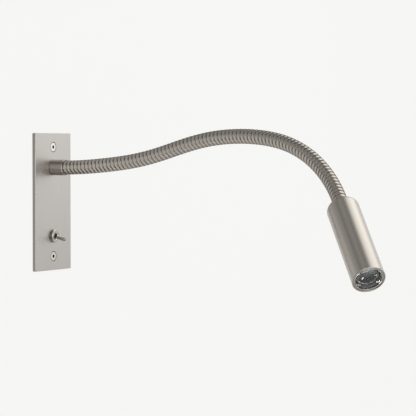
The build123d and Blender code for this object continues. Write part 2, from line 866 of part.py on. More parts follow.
with BuildPart() as lens:
    with BuildSketch(head_section):
        with BuildLine():
            Polyline(
                (0, dome_top),
                (0, lens_back),
                (lens_diameter / 2, lens_back),
                (lens_diameter / 2, dome_base),
                (lens_aperture / 2, dome_base),
            )
            ThreePointArc((lens_aperture / 2, dome_base), dome_middle, (0, dome_top))
        make_face()
    revolve(axis=Axis(head_back.origin, head_back.z_dir))
save(lens, "lens")

with BuildPart() as front_ring:
    with BuildSketch(head_plane(mouth_start + slip)):
        Circle(mouth_bore - slip)
    extrude(amount=ring_front - mouth_start - slip)
    with BuildSketch(head_plane(mouth_start)):
        Circle(lens_diameter / 2 + slip)
    extrude(amount=dome_base + slip - mouth_start, mode=Mode.SUBTRACT)
    with BuildSketch(head_plane(mouth_start)):
        Circle(lens_aperture / 2 + running)
    extrude(amount=mouth_depth, mode=Mode.SUBTRACT)
    for station, widening in ((ring_front - ring_bevel / 2, 0), (ring_front, ring_bevel)):
        with BuildSketch(head_plane(station)):
            Circle(lens_aperture / 2 + running + widening)
    loft(ruled=True, mode=Mode.SUBTRACT)
save(front_ring, "front_ring")

# ---------------------------------------------------------------- lead and wires
def arc_radii(points):
    """The arc at each corner of a route: as large as the runs beside it have room for."""
    last = len(points) - 2
    radii = []
    for k in range(1, last + 1):
        before = points[k] - points[k - 1]
        after = points[k + 1] - points[k]
        room_before = before.length * (end_run_share if k == 1 else inner_run_share)
        room_after = after.length * (end_run_share if k == last else inner_run_share)
        turn = math.radians(before.get_angle(after))
        radii.append(min(room_before, room_after) / math.tan(turn / 2))
    return radii


def build_tubes(routes, diameter):
    """Tubes along straight runs joined by tangent arcs, one for each route."""
    with BuildPart() as tubes:
        for points in routes:
            with BuildLine() as path:
                FilletPolyline(*points, radius=arc_radii(points))
            with BuildSketch(Plane(points[0], z_dir=points[1] - points[0])):
                Circle(diameter / 2)
            sweep(path=path.wires()[0])
    return tubes


driver_y = (driver_front + driver_back) / 2
wire_start = terminal_bottom + terminal_entry_depth - loose
tag_end_y = switch_case_back + switch_tag_length - wire_diameter / 2
tag_side = switch_tag_width / 2 + slip
side_gap = (driver_width / 2 + box_width / 2 - box_wall) / 2
front_gap_y = (switch_case_back + driver_front) / 2

# the lead: out of the driver, through the collar, the neck and the bush, into the head
lead_route = [
    Vector(0, driver_y, driver_top + slip),
    Vector(0, driver_y, neck_height),
    *[route_plane(joint_spacing * k).origin for k in range(neck_joint_count)],
    route_plane(curve_length).origin,
    head_plane(lead_into_head).origin,
]
neck_lead = build_tubes([lead_route], lead_diameter)
save(neck_lead, "neck_lead")

# live: from the middle way of the block, in front of the driver, to the switch's upper tag
wire_x = terminal_xs[0]
live_route = [
    Vector(terminal_xs[1], terminal_entry_y, wire_start),
    Vector(terminal_xs[1], terminal_entry_y, terminal_bottom - live_drop),
    Vector(wire_x, front_gap_y, driver_top + live_above_driver),
    Vector(wire_x, front_gap_y, tag_zs[0] + live_above_switch),
    Vector(wire_x, tag_end_y, tag_zs[0]),
    Vector(-tag_side, tag_end_y, tag_zs[0]),
]
wire_live = build_tubes([live_route], wire_diameter)
save(wire_live, "wire_live")

# switched live: from the switch's lower tag, round under the driver, into its bottom end
switched_route = [
    Vector(tag_side, tag_end_y, tag_zs[1]),
    Vector(-wire_x, tag_end_y, tag_zs[1]),
    Vector(-wire_x, tag_end_y, driver_bottom - switched_below_driver),
    Vector(-wire_x, driver_y, driver_bottom - switched_below_driver),
    Vector(-wire_x, driver_y, driver_bottom - slip),
]
wire_switched = build_tubes([switched_route], wire_diameter)
save(wire_switched, "wire_switched")

# neutral: from the first way, down beside the driver, into its bottom end
neutral_route = [
    Vector(wire_x, terminal_entry_y, wire_start),
    Vector(wire_x, terminal_entry_y, terminal_bottom - neutral_drop),
    Vector(-side_gap, terminal_entry_y, driver_top + neutral_above_driver),
    Vector(-side_gap, terminal_entry_y, driver_bottom - neutral_below_driver),
    Vector(wire_x, driver_y, driver_bottom - neutral_below_driver),
    Vector(wire_x, driver_y, driver_bottom - slip),
]
wire_neutral = build_tubes([neutral_route], wire_diameter)
save(wire_neutral, "wire_neutral")

# earth: from the last way into the tag's barrel
barrel_top = barrel_start + tag_barrel_length
earth_route = [
    Vector(earth_x, terminal_entry_y, wire_start),
    Vector(earth_x, terminal_entry_y, terminal_bottom - earth_drop),
    Vector(earth_x, barrel_y, barrel_top + earth_above_tag),
    Vector(earth_x, barrel_y, barrel_start + tag_thickness + loose),
]
wire_earth = build_tubes([earth_route], wire_diameter)
save(wire_earth, "wire_earth")


def head_point(across, up, t):
    """A point in the head: across and up from its axis, t mm in front of its back face."""
    return head_plane(t).from_local_coords(Vector(across, up, 0))


led_routes = [
    [
        head_point(0, side * led_wire_split, lead_into_head + slip),
        head_point(0, side * led_wire_split, lead_into_head + led_wire_straight),
        head_point(0, side * sink_hole_offset, sink_start - led_wire_straight),
        head_point(0, side * sink_hole_offset, board_end + loose),
    ]
    for side in (1, -1)
]
led_wires = build_tubes(led_routes, led_wire_diameter)
save(led_wires, "led_wires")
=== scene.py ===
import json
import math

import bmesh
import bpy
import numpy as np
from mathutils import Matrix, Vector

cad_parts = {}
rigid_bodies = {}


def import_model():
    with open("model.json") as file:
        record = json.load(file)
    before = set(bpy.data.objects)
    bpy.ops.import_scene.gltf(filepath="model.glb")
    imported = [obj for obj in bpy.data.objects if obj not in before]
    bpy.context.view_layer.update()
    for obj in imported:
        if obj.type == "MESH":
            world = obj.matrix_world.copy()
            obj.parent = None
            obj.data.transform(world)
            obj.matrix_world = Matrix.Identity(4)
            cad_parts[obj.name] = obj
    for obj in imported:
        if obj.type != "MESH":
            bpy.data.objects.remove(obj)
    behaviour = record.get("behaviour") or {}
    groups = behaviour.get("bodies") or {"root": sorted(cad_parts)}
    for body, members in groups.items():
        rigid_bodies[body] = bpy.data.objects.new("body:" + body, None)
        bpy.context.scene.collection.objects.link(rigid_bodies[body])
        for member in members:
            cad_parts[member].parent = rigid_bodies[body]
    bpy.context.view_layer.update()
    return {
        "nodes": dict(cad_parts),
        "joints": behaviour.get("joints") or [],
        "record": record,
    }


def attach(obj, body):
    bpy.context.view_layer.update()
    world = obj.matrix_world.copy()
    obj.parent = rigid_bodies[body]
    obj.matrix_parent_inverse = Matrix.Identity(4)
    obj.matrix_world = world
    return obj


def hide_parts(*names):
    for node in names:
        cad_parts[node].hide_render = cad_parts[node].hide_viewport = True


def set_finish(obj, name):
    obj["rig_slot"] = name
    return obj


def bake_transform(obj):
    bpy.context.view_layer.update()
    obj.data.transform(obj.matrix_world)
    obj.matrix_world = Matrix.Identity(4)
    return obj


# Wall reading lamp: plate with a toggle switch, wound flexible neck, slim turned head.
# Each shape is drawn in millimetres in a frame of its own and then seated in the row's metres.
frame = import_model()
joints = frame["joints"]

MM = 0.001
TO_METRES = Matrix.Scale(MM, 4)
UP = Vector((0, 0, 1))

# ------------------------------------------------------------------ sizes, in millimetres
PLATE = (54.0, 116.0, 3.0)
PLATE_FACE = PLATE[2]
PLATE_CORNER = 1.0
PLATE_BEVEL = 0.4
PLATE_RIM_ROUND = 0.12
# the hollow in the plate's back that the box's rim sits in
POCKET = (45.2, 107.2, 0.6)
POCKET_CORNER = 4.6
# the holes' radii, and where the screws' 45 degree seats start
NECK_HOLE = 5.1
SWITCH_HOLE = 3.1
SCREW_HOLE = 2.15
SCREW_SEAT = 4.3
SEAT_FOOT = 0.49
NECK_HEIGHT = 29.0
SWITCH_HEIGHT = -29.0
SCREW_HEIGHT = 46.25
# the plate screws: how far under the face, how long, and the hexagon's corner radius
SCREW_SUNK = 0.05
SCREW_LENGTH = 12.0
SOCKET_CORNER = 1.6
# the collar, how deep the winding sits in it, and the gap between parts that fit together
COLLAR_LENGTH = 12.7
COLLAR_SOCKET = 9.5
CLEARANCE = 0.03
NUT_HEIGHT = 2.4
KNURL_NOTCHES = 40
KNURL_DEPTH = 0.24
LEVER_PIVOT_Y = -1.2
LEVER_DROP = math.radians(12.5)
# the head: the middle of its back, the way it points, and the stiff neck's end before it
HEAD_LENGTH = 79.5
HEAD_SOCKET = 2.0
HEAD_POINT = Vector((-46.5, -292.5, 1.5))
HEAD_DIRECTION = Vector((-0.557, -0.525, -0.644)).normalized()
STRAIGHT_END = 7.0
# the neck: twelve bending points, seven ribs from each to the next
NECK_JOINTS = 12
RIBS_PER_JOINT = 7
RIB_FOOT = 5.35
RIB_RISE = 0.645
RIB_SIDES = 64
NECK_BORE = 3.1
TURNS_IN_COLLAR = 4
TURNS_IN_HEAD = 2
# the lead, and the place on the driver that it comes out of
LEAD_RADIUS = 2.0
LEAD_BEND = 10.0
LEAD_IN_HEAD = 20.0
DRIVER_TOP = 12.03
DRIVER_MIDDLE_Y = 27.5

# ------------------------------------------------------------------ camera
FOCAL_MM = 162.0
CAMERA_PLACE = (-1.3273, -0.8799, 0.0446)
CAMERA_YAW = 61.27
CAMERA_DIP = 1.805

lens_and_film = bpy.data.cameras.new("camera")
lens_and_film.sensor_width = 36.0
lens_and_film.lens = FOCAL_MM
lens_and_film.clip_end = 50
camera = bpy.data.objects.new("camera", lens_and_film)
bpy.context.scene.collection.objects.link(camera)
camera.location = CAMERA_PLACE
camera.rotation_euler = (math.radians(90 - CAMERA_DIP), 0, math.radians(-CAMERA_YAW))
bpy.context.scene.camera = camera
bpy.context.scene.view_settings.view_transform = "Standard"


# ------------------------------------------------------------------ frames to build in
def outward(height, depth=0.0):
    """Frame on the wall's middle line: x to the right, y up, z out into the room."""
    axes = Matrix(((1, 0, 0), (0, 0, -1), (0, 1, 0))).to_4x4()
    return Matrix.Translation((0, depth, height)) @ axes


def along(point, direction):
    """Frame with z along a direction and x level."""
    level = UP.cross(direction).normalized()
    axes = Matrix((level, direction.cross(level), direction)).transposed().to_4x4()
    return Matrix.Translation(point) @ axes


HEAD_FRAME = along(HEAD_POINT, HEAD_DIRECTION)


# ------------------------------------------------------------------ the neck's line
LINE_SPARE = 40
STEPS_PER_GAP = 200


def neck_line():
    """The neck's middle line: lengths along it, its points and its directions, in mm.

    A smooth line through the collar's mouth, every bending point and the neck's straight end,
    whose bend runs on evenly from piece to piece. It goes on straight past both ends."""
    mouth = Vector((0, -PLATE_FACE - COLLAR_LENGTH, NECK_HEIGHT))
    bends = [Vector(j["pos_m"]) / MM for j in joints if j["name"].startswith("neck_")]
    stops = np.array([mouth, *bends, HEAD_POINT - HEAD_DIRECTION * STRAIGHT_END])
    gaps = np.linalg.norm(np.diff(stops, axis=0), axis=1)
    chords = np.diff(stops, axis=0) / gaps[:, None]
    count = len(stops)
    matrix, wanted = np.eye(count), np.zeros((count, 3))
    wanted[0], wanted[-1] = (0, -1, 0), HEAD_DIRECTION
    for k in range(1, count - 1):
        before, after = gaps[k - 1], gaps[k]
        matrix[k, k - 1:k + 2] = after, 2 * (before + after), before
        wanted[k] = 3 * (after * chords[k - 1] + before * chords[k])
    slopes = np.linalg.solve(matrix, wanted)
    points = []
    for k, gap in enumerate(gaps):
        t = np.linspace(0, 1, STEPS_PER_GAP, endpoint=False)[:, None]
        points.append(
            (1 + 2 * t) * (1 - t) ** 2 * stops[k] + t * t * (3 - 2 * t) * stops[k + 1]
            + gap * t * (1 - t) ** 2 * slopes[k] - gap * t * t * (1 - t) * slopes[k + 1]
        )
    before_mouth = stops[0] + (0, LINE_SPARE, 0)
    inside_head = np.array(HEAD_POINT + HEAD_DIRECTION * LINE_SPARE)
    points = np.concatenate([[before_mouth], *points, stops[-1:], [inside_head]])
    steps = np.linalg.norm(np.diff(points, axis=0), axis=1)
    lengths = np.concatenate([[0], np.cumsum(steps)]) - steps[0]
    directions = np.gradient(points, lengths, axis=0)
    directions /= np.linalg.norm(directions, axis=1)[:, None]
    return lengths, points, directions


LENGTHS, POINTS, DIRECTIONS = neck_line()
NECK_LENGTH = float(LENGTHS[-1]) - LINE_SPARE
JOINT_GAP = NECK_LENGTH / NECK_JOINTS
RIB_PITCH = JOINT_GAP / RIBS_PER_JOINT


def follow(stations):
    """Points, level and upward directions of the neck's line at these lengths."""
    place = np.stack([np.interp(stations, LENGTHS, POINTS[:, k]) for k in range(3)], 1)
    heading = np.stack([np.interp(stations, LENGTHS, DIRECTIONS[:, k]) for k in range(3)], 1)
    level = np.cross((0, 0, 1), heading)
    level /= np.linalg.norm(level, axis=1)[:, None]
    upward = np.cross(heading, level)
    return place, level, upward / np.linalg.norm(upward, axis=1)[:, None]


def bend_to_line(bm):
    """Bends a straight form, drawn along z, so that it lies along the neck's line.

    Each point keeps its unbent place as the attribute that the neck's grain is drawn on."""
    straight = bm.verts.layers.float_vector.new("straight")
    verts = list(bm.verts)
    drawn = np.array([v.co for v in verts])
    place, level, upward = follow(drawn[:, 2])
    bent = place + drawn[:, :1] * level + drawn[:, 1:2] * upward
    for vert, was, now in zip(verts, drawn, bent):
        vert[straight] = Vector(was) * MM
        vert.co = now


# ------------------------------------------------------------------ making pieces
def face_outwards(bm):
    """Turns every face outwards, starting from fresh normals."""
    bm.normal_update()
    bmesh.ops.recalc_face_normals(bm, faces=bm.faces)


def shade(bm, sharp=38):
    """Shades a form smooth, but for edges with this turn in degrees or more between faces."""
    limit = math.radians(sharp)
    for face in bm.faces:
        face.smooth = True
    for edge in bm.edges:
        edge.smooth = len(edge.link_faces) == 2 and edge.calc_face_angle(0) < limit


def make(name, bm, body=None, seat=Matrix.Identity(4), sharp=38):
    """A finished object from a bmesh in millimetres, seated in metres, riding on a body."""
    face_outwards(bm)
    shade(bm, sharp)
    bm.transform(TO_METRES @ seat)
    mesh = bpy.data.meshes.new(name)
    bm.to_mesh(mesh)
    bm.free()
    piece = bpy.data.objects.new(name, mesh)
    bpy.context.scene.collection.objects.link(piece)
    if body:
        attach(piece, body)
    return piece


def even_normals(piece):
    """Keeps wide faces flat beside small bevels."""
    piece.modifiers.new("even_normals", "WEIGHTED_NORMAL").keep_sharp = True


def soften(bm, edges, width, steps=2):
    """Rounds edges off."""
    bmesh.ops.bevel(
        bm, geom=edges, offset=width, offset_type="OFFSET", affect="EDGES",
        segments=steps, profile=0.5, material=-1, clamp_overlap=True,
    )


def turn(outline, sides=96, closed=True, round_off=0.0):
    """A form turned about z from an outline of (radius, height) points.

    An outline that starts and ends on the axis isn't closed. Sharp edges may be rounded off."""
    bm = bmesh.new()
    verts = [bm.verts.new((r, 0, z)) for r, z in outline]
    pairs = zip(verts, verts[1:] + verts[:1]) if closed else zip(verts, verts[1:])
    edges = [bm.edges.new(pair) for pair in pairs]
    bmesh.ops.spin(
        bm, geom=verts + edges, cent=(0, 0, 0), axis=(0, 0, 1), angle=math.tau,
        steps=sides, use_merge=True,
    )
    bmesh.ops.remove_doubles(bm, verts=bm.verts, dist=1e-4)
    if round_off:
        face_outwards(bm)
        limit = math.radians(35)
        sharp = [e for e in bm.edges if len(e.link_faces) == 2 and e.calc_face_angle(0) > limit]
        soften(bm, sharp, round_off)
    return bm


def arc(centre, radius, start, end, steps):
    """Points of an arc in an outline, from start to end degrees."""
    across, up = centre
    angles = [math.radians(start + (end - start) * k / steps) for k in range(steps + 1)]
    return [(across + radius * math.cos(a), up + radius * math.sin(a)) for a in angles]


def carve(piece, cutters):
    """Cuts the cutters' forms out of a piece, one after another, and removes them."""
    for cutter in cutters:
        cut = piece.modifiers.new("cut", "BOOLEAN")
        cut.operation = "DIFFERENCE"
        cut.solver = "EXACT"
        cut.object = cutter
        evaluated = piece.evaluated_get(bpy.context.evaluated_depsgraph_get())
        mesh = bpy.data.meshes.new_from_object(evaluated)
        piece.modifiers.remove(cut)
        piece.data = mesh
        bpy.data.objects.remove(cutter)
    bm = bmesh.new()
    bm.from_mesh(piece.data)
    shade(bm)
    bm.to_mesh(piece.data)
    bm.free()


# ------------------------------------------------------------------ wall plate
def climb(edge):
    """How far an edge climbs along z."""
    return abs(edge.verts[0].co.z - edge.verts[1].co.z)


def plate_blank():
    """The plate before its holes: rounded corners, a bevel round the front."""
    bm = bmesh.new()
    size = Matrix.Diagonal((*PLATE, 1))
    bmesh.ops.create_cube(bm, size=1, matrix=Matrix.Translation((0, 0, PLATE_FACE / 2)) @ size)
    soften(bm, [e for e in bm.edges if climb(e) > 1], PLATE_CORNER, 4)
    front = [e for e in bm.edges if all(v.co.z > PLATE_FACE - 0.01 for v in e.verts)]
    soften(bm, front, PLATE_BEVEL, 1)
    # the bevel's two rims, which are rounded too
    rims = [
        e for e in bm.edges
        if climb(e) < 0.01 and e.verts[0].co.z > 0.5
        and len(e.link_faces) == 2 and e.calc_face_angle(0) > 0.5
    ]
    soften(bm, rims, PLATE_RIM_ROUND, 2)
    return bm


def box_cutter(width, height, depth, corner):
    """A block with rounded corners, centred on z = 0 and reaching depth above it."""
    bm = bmesh.new()
    bmesh.ops.create_cube(bm, size=1, matrix=Matrix.Diagonal((width, height, 2 * depth, 1)))
    soften(bm, [e for e in bm.edges if climb(e) > 0.01], corner, 6)
    return bm


def hole(radius):
    """A straight drill's outline, 1 mm longer than the plate on both sides."""
    return [(0, -1), (radius, -1), (radius, PLATE_FACE + 1), (0, PLATE_FACE + 1)]


plate = make("face_plate", plate_blank(), "wall_base", outward(0))
seat_top = SEAT_FOOT + SCREW_SEAT - SCREW_HOLE
seated_hole = [
    (0, -1), (SCREW_HOLE, -1), (SCREW_HOLE, SEAT_FOOT), (SCREW_SEAT, seat_top),
    *hole(SCREW_SEAT)[2:],
]
drills = [
    (seated_hole, SCREW_HEIGHT),
    (seated_hole, -SCREW_HEIGHT),
    (hole(NECK_HOLE), NECK_HEIGHT),
    (hole(SWITCH_HOLE), SWITCH_HEIGHT),
]
cutters = [make("pocket_cutter", box_cutter(*POCKET, POCKET_CORNER), seat=outward(0))]
cutters += [
    make(f"drill_{k}", turn(outline, 64, closed=False), seat=outward(height))
    for k, (outline, height) in enumerate(drills)
]
carve(plate, cutters)
even_normals(plate)
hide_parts("wall_plate")
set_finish(plate, "plate_nickel")


# ------------------------------------------------------------------ plate screws
def plate_screw(k, height):
    """A countersunk screw with a hexagon socket, its head just under the plate's face."""
    top = PLATE_FACE - SCREW_SUNK
    tip = top - SCREW_LENGTH
    outline = [
        (0, tip), (1.7, tip), (2.0, tip + 0.3), (2.0, top - 2.1), (3.8, top - 0.3), (3.8, top),
        (0, top),
    ]
    bm = turn(outline, 64, closed=False, round_off=0.08)
    # the socket is 1.6 mm deep; its cutter starts 0.4 mm above the head
    socket = bmesh.new()
    bmesh.ops.create_cone(
        socket, cap_ends=True, segments=6, radius1=SOCKET_CORNER, radius2=SOCKET_CORNER,
        depth=2.0, matrix=Matrix.Translation((0, 0, top - 0.6)),
    )
    screw = make(f"plate_screw_{k}", bm, "wall_base", outward(height))
    carve(screw, [make("socket_cutter", socket, seat=outward(height))])
    even_normals(screw)
    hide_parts("plate_screws")
    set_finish(screw, "screw_steel")


for k, height in enumerate((SCREW_HEIGHT, -SCREW_HEIGHT)):
    plate_screw(k, height)

# ------------------------------------------------------------------ collar
collar_front = PLATE_FACE + COLLAR_LENGTH
collar_outline = [
    # the shank through the plate, bored for the lead
    (2.5, -6.5), (4.8, -6.5), (5.0, -6.3), (5.0, PLATE_FACE),
    # the body in front of it, its edges broken
    (6.35, PLATE_FACE), (6.65, PLATE_FACE + 0.3), (6.65, collar_front - 0.4), (6.35, collar_front),
    # the socket that the winding sits in
    (6.03, collar_front), (6.03, collar_front - COLLAR_SOCKET),
    (2.5, collar_front - COLLAR_SOCKET),
]
collar_form = turn(collar_outline, 128, round_off=0.06)
collar = make("neck_collar_turned", collar_form, "wall_base", outward(NECK_HEIGHT))
even_normals(collar)
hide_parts("neck_collar")
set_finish(collar, "collar_nickel")


# ------------------------------------------------------------------ toggle: nut and lever
def knurled_nut():
    """The dress nut: a ring with a straight knurl round it and a turned face."""
    top = PLATE_FACE + NUT_HEIGHT
    outline = [
        # the foot and the knurled side
        (3.03, PLATE_FACE), (5.3, PLATE_FACE), (5.5, PLATE_FACE + 0.2), (5.5, top - 0.45),
        # the rounded shoulder, a groove in the face and the bore's edge
        *arc((5.05, top - 0.45), 0.45, 0, 90, 5), (4.55, top), (4.4, top - 0.3), (4.1, top - 0.3),
        (3.95, top - 0.02), (3.35, top - 0.02), (3.03, top - 0.3),
    ]
    # four sides to a notch: two of their corners are pushed in
    sides = 4 * KNURL_NOTCHES
    bm = turn(outline, sides)
    for vert in bm.verts:
        radius = math.hypot(vert.co.x, vert.co.y)
        side = round(math.degrees(math.atan2(vert.co.y, vert.co.x)) / (360 / sides)) % 4
        if radius > 5.25 and vert.co.z < top - 0.4 and side in (1, 2):
            vert.co.x *= 1 - KNURL_DEPTH / radius
            vert.co.y *= 1 - KNURL_DEPTH / radius
    return bm


dress_nut = make("toggle_dress_nut", knurled_nut(), "wall_base", outward(SWITCH_HEIGHT), sharp=30)
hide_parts("switch_dress_nut")
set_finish(dress_nut, "dress_nickel")

lever_direction = Vector((0, -math.cos(LEVER_DROP), -math.sin(LEVER_DROP)))
lever_outline = [
    # the tail inside the switch and the ball it turns on
    (0, -3.6), (0.7, -3.6), (0.8, -3.5), (0.8, -1.75), *arc((0, 0), 1.9, -62, 56, 14),
    # the bat, which widens to its rounded tip
    (1.02, 2.3), (1.1, 4.5), (1.38, 13.4), (1.3, 13.75), (1.05, 13.97), (0.6, 14.0), (0, 14.0),
]
lever = make(
    "toggle_bat", turn(lever_outline, 48, closed=False), "toggle",
    along(Vector((0, LEVER_PIVOT_Y, SWITCH_HEIGHT)), lever_direction),
)
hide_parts("switch_lever")
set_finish(lever, "lever_nickel")


# ------------------------------------------------------------------ flexible neck
# one rib of the winding across its pitch, as round as wire: share of the pitch and radius
half_round = arc((0, 0), 1.0, 0, 180, 14)
RIB = [(0.5 - share / 2, RIB_FOOT + RIB_RISE * rise) for share, rise in half_round]


def wound_tube(start, turns):
    """A straight length of the winding along z, spun as a screw, with a ramp closing each end."""
    bm = bmesh.new()

    def screw(lines, around):
        """Spins lines of (radius, height) points, rising one pitch for each turn."""
        geom = []
        for line in lines:
            verts = [bm.verts.new((radius, 0, height)) for radius, height in line]
            geom += verts + [bm.edges.new(pair) for pair in zip(verts, verts[1:])]
        bmesh.ops.spin(
            bm, geom=geom, cent=(0, 0, 0), axis=(0, 0, 1),
            dvec=(0, 0, RIB_PITCH / RIB_SIDES), angle=math.tau * around, steps=RIB_SIDES * around,
        )

    def rib_at(height):
        """One rib's line and the bore's line behind it."""
        rib = [(radius, height + share * RIB_PITCH) for share, radius in RIB]
        return rib, [(NECK_BORE, height + RIB_PITCH), (NECK_BORE, height)]

    # at each end a face across the wall, and a ramp that rises from it over one turn
    for height in (start, start + turns * RIB_PITCH):
        rib, bore = rib_at(height)
        bm.faces.new([bm.verts.new((radius, 0, rise)) for radius, rise in rib + bore])
        screw([[bore[1], rib[0]]], 1)
    screw(rib_at(start), turns)
    bmesh.ops.remove_doubles(bm, verts=bm.verts, dist=0.02)
    return bm


def trim(bm, height, keep_above):
    """Cuts the tube square at a height, keeps one side of it and closes the cut."""
    cut = bmesh.ops.bisect_plane(
        bm, geom=bm.verts[:] + bm.edges[:] + bm.faces[:], plane_co=(0, 0, height),
        plane_no=(0, 0, 1), clear_inner=keep_above, clear_outer=not keep_above, dist=1e-4,
    )["geom_cut"]
    rims = [part for part in cut if isinstance(part, bmesh.types.BMEdge)]
    bmesh.ops.triangle_fill(bm, edges=rims, normal=(0, 0, 1))


moved_bodies = [j["child"] for j in joints if j["name"].startswith("neck_")]
neck_bodies = [joints[0]["parent"], *moved_bodies]


def blend_piece(piece, k):
    """Bakes a neck piece's placing into its mesh; the ends of its span along the line are worked
    out but not used.
    """
    stations = np.array([JOINT_GAP * k + RIB_PITCH / 2, JOINT_GAP * (k + 1) - RIB_PITCH / 2])
    ends = follow(stations)[0]
    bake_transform(piece)


last = len(neck_bodies) - 2
for k in range(last + 1):
    turns_before = TURNS_IN_COLLAR if k == 0 else 0
    turns_after = TURNS_IN_HEAD if k == last else 0
    start = JOINT_GAP * k - RIB_PITCH / 2 - turns_before * RIB_PITCH
    tube = wound_tube(start, RIBS_PER_JOINT + turns_before + turns_after)
    if k == 0:
        trim(tube, CLEARANCE - COLLAR_SOCKET, keep_above=True)
    if k == last:
        trim(tube, NECK_LENGTH + HEAD_SOCKET - CLEARANCE, keep_above=False)
    bend_to_line(tube)
    piece = make(f"neck_winding_{k:02d}", tube, sharp=60)
    blend_piece(piece, k)
    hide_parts(f"neck_section_{k:02d}")
    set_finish(piece, "neck_steel")
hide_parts(f"neck_section_{last + 1:02d}")


# ------------------------------------------------------------------ lead inside the neck
def lead_length(start, end, steps):
    """A straight length of the sheathed lead along z, with flat ends."""
    rise = [start + (end - start) * k / steps for k in range(steps + 1)]
    outline = [(0, start), *[(LEAD_RADIUS, z) for z in rise], (0, end)]
    return turn(outline, 24, closed=False)


lead = []
for k in range(last + 1):
    tube = lead_length(JOINT_GAP * k, JOINT_GAP * (k + 1), 16)
    bend_to_line(tube)
    piece = make(f"neck_lead_{k:02d}", tube)
    blend_piece(piece, k)
    lead.append(piece)
head_lead = lead_length(NECK_LENGTH, NECK_LENGTH + LEAD_IN_HEAD, 8)
bend_to_line(head_lead)
lead.append(make("head_lead", head_lead, "head"))


def grow(bm, part, step):
    """Extrudes faces by a step. Returns the faces at its far end."""
    grown = bmesh.ops.extrude_face_region(bm, geom=part)["geom"]
    moved = [g for g in grown if isinstance(g, bmesh.types.BMVert)]
    bmesh.ops.translate(bm, vec=step, verts=moved)
    return [g for g in grown if isinstance(g, bmesh.types.BMFace)]


def box_lead():
    """The lead's first run: up out of the driver, round one bend, out through the collar."""
    bm = bmesh.new()
    ring = bmesh.ops.create_circle(bm, cap_ends=True, segments=24, radius=LEAD_RADIUS)["verts"]
    bmesh.ops.translate(bm, vec=(0, DRIVER_MIDDLE_Y, DRIVER_TOP), verts=ring)
    bend_height = NECK_HEIGHT - LEAD_BEND
    bend_y = DRIVER_MIDDLE_Y - LEAD_BEND
    front = grow(bm, bm.faces[:], (0, 0, bend_height - DRIVER_TOP))
    edges = list({e for f in front for e in f.edges})
    verts = list({v for f in front for v in f.verts})
    spun = bmesh.ops.spin(
        bm, geom=front + edges + verts, cent=(0, bend_y, bend_height), axis=(1, 0, 0),
        angle=math.radians(90), steps=12,
    )["geom_last"]
    tip = [g for g in spun if isinstance(g, bmesh.types.BMFace)]
    grow(bm, tip, (0, -collar_front - bend_y, 0))
    # the faces left inside, where one run meets the next
    inside = [f for f in set(front + tip) if f.is_valid]
    bmesh.ops.delete(bm, geom=inside, context="FACES_ONLY")
    return bm


lead.append(make("box_lead", box_lead(), "wall_base"))
for piece in lead:
    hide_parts("neck_lead")
    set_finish(piece, "lead_black")

# ------------------------------------------------------------------ head
# heights in these outlines run along the head, from the middle of its back
shell_outline = [
    # the rounded back
    (6.1, 0.02), (8.0, 0), *arc((8.0, 4.5), 4.5, -90, 0, 12),
    # the front rim, its edges broken, and the step that the lens ring sits on
    (12.5, HEAD_LENGTH - 0.25), (12.25, HEAD_LENGTH), (11.75, HEAD_LENGTH),
    (11.6, HEAD_LENGTH - 0.15), (11.6, 76.3), (11.2, 76.3),
    # the bore, the tip bush's hole and the socket that the winding ends in
    (11.2, 7.0), (5.03, 7.0), (5.03, HEAD_SOCKET), (6.1, HEAD_SOCKET),
]
shell = make("head_tube", turn(shell_outline, 192), "head", HEAD_FRAME)
even_normals(shell)
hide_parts("head_shell")
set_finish(shell, "head_nickel")

ring_outline = [
    # the side in the head, the face with its turned groove
    (11.57, 76.33), (11.57, 78.85), (11.45, 78.97), (11.0, 78.97), (10.92, 78.75), (10.72, 78.75),
    # the rolled lip over the lens's rim, the seat behind it
    (10.64, 78.95), *arc((10.3, 78.9), 0.3, 60, 180, 6), (9.95, 78.53), (10.43, 78.53),
    (10.43, 76.33),
]
ring = make("lens_ring", turn(ring_outline, 160), "head", HEAD_FRAME)
even_normals(ring)
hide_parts("front_ring")
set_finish(ring, "ring_chrome")

# the cup behind the lens: three bright flared steps from its throat to its mouth
cup_outline = [
    (3.7, 61.9), (3.0, 61.9), (4.6, 64.2), (5.6, 66.6), (5.9, 66.7), (7.2, 69.8), (7.9, 72.2),
    (8.2, 72.3), (9.2, 75.2), (9.4, 76.27), (10.15, 76.27),
]
cup = make("lens_cup", turn(cup_outline, 14, round_off=0.05), "head", HEAD_FRAME, sharp=8)
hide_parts("reflector")
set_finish(cup, "reflector_bright")

# the lens: a flat back, a rim under the ring's lip, and a dome
dome_rim, dome_foot, dome_rise = 9.7, 78.5, 2.6
dome_radius = (dome_rim ** 2 + dome_rise ** 2) / (2 * dome_rise)
dome_turn = math.degrees(math.asin(dome_rim / dome_radius))
dome_centre = (0, dome_foot + dome_rise - dome_radius)
lens_outline = [
    (0, 76.5), (10.2, 76.5), (10.4, 76.7), (10.4, 78.4), (10.3, dome_foot), (9.75, dome_foot),
    *arc(dome_centre, dome_radius, 90 - dome_turn, 90, 18),
]
lens = make("domed_lens", turn(lens_outline, 128, closed=False), "head", HEAD_FRAME)
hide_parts("lens")
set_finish(lens, "lens_clear")


# ------------------------------------------------------------------ finishes
def paint(code):
    """An sRGB hex value as linear red, green and blue with alpha."""
    channels = [int(code[k:k + 2], 16) / 255 for k in (1, 3, 5)]
    return (*[c / 12.92 if c <= 0.04045 else ((c + 0.055) / 1.055) ** 2.4 for c in channels], 1)


def add(tree, kind, inputs=None, **settings):
    """A node of a kind, with its settings and its inputs, each a value or a link."""
    made = tree.nodes.new(kind)
    for key, value in settings.items():
        setattr(made, key, value)
    for key, value in (inputs or {}).items():
        if isinstance(value, bpy.types.NodeSocket):
            tree.links.new(value, made.inputs[key])
        else:
            made.inputs[key].default_value = value
    return made


